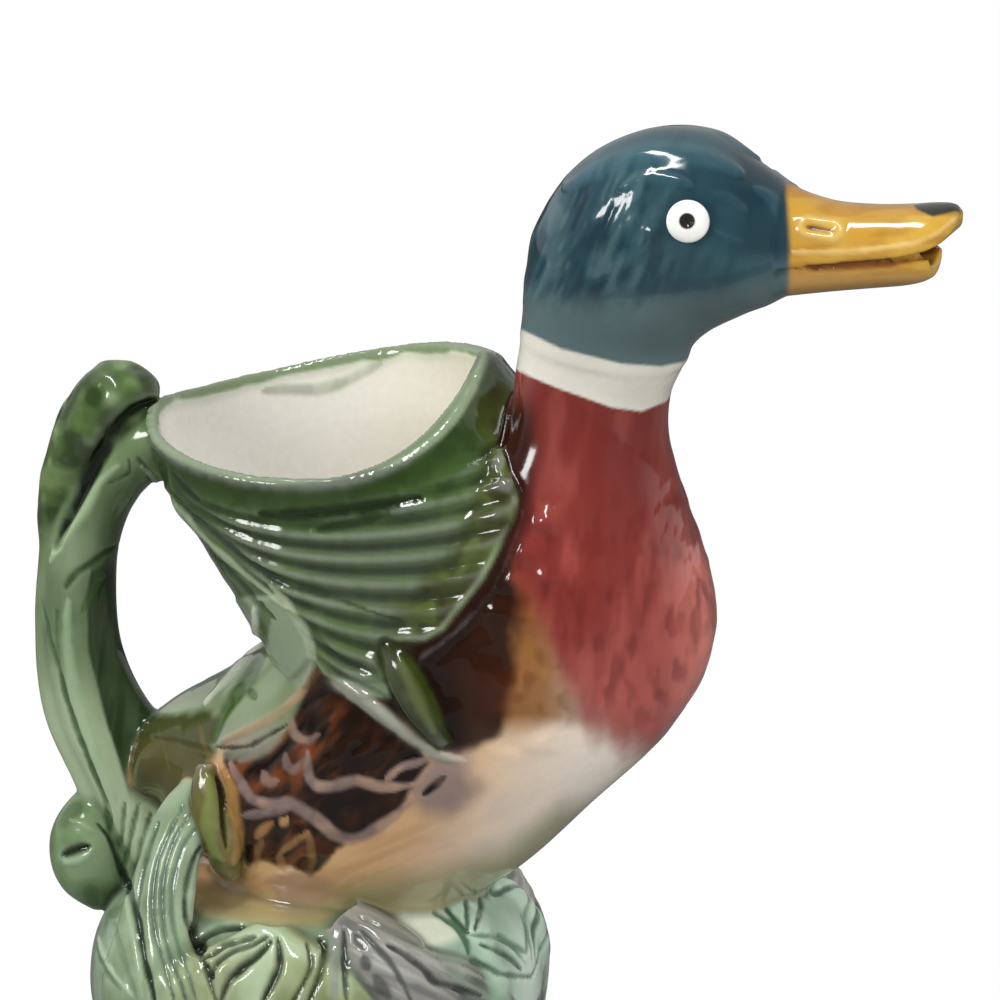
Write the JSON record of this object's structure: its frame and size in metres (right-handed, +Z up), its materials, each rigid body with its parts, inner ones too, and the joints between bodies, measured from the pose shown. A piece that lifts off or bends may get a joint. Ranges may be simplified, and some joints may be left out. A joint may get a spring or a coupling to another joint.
{
  "type": "duck carafe",
  "caption": "Glazed earthenware pitcher shaped as a drake mallard on a leafy mound, with a leaf cup on its back, a leaf stalk handle and an open bill that pours.",
  "frame": {"origin": "on the table under the middle of the bounding box", "axes": "+X the way the duck faces, +Y to its left, +Z up"},
  "size_m": [0.2898, 0.1494, 0.2991],
  "materials": {
    "teal_glaze": "glossy glaze on fired earthenware",
    "red_glaze": "glossy glaze on fired earthenware",
    "tan_glaze": "glossy glaze on fired earthenware",
    "brown_glaze": "glossy glaze on fired earthenware",
    "ochre_glaze": "glossy glaze on fired earthenware",
    "white_glaze": "glossy glaze on fired earthenware",
    "pale_green_glaze": "glossy glaze on fired earthenware",
    "dark_green_glaze": "glossy glaze on fired earthenware",
    "mint_glaze": "glossy glaze on fired earthenware",
    "grey_glaze": "glossy glaze on fired earthenware"
  },
  "bodies": {
    "root": {"body_shell": "tan_glaze", "neck_shell": "red_glaze", "head_shell": "teal_glaze", "upper_bill": "ochre_glaze", "lower_bill": "ochre_glaze", "eye_right": "white_glaze", "eye_left": "white_glaze", "base_mound": "mint_glaze", "tail": "brown_glaze", "leaf_cup": "pale_green_glaze", "handle_outer_stalk": "pale_green_glaze", "handle_bud": "dark_green_glaze", "handle_middle_stalk": "pale_green_glaze", "handle_inner_stalk": "dark_green_glaze", "rear_bud": "dark_green_glaze", "leaf_lobe_right": "pale_green_glaze", "wing_right": "brown_glaze", "leaf_stem_right": "pale_green_glaze", "leaf_pod_right": "dark_green_glaze", "leaf_curl_right": "dark_green_glaze", "plume_leaf_right": "mint_glaze", "fan_leaf_right": "mint_glaze", "log_right": "grey_glaze", "front_leaf_right": "mint_glaze", "leaf_lobe_left": "pale_green_glaze", "wing_left": "brown_glaze", "leaf_stem_left": "pale_green_glaze", "leaf_pod_left": "dark_green_glaze", "leaf_curl_left": "dark_green_glaze", "plume_leaf_left": "mint_glaze", "fan_leaf_left": "mint_glaze", "log_left": "grey_glaze", "front_leaf_left": "mint_glaze"}
  },
  "joints": []
}
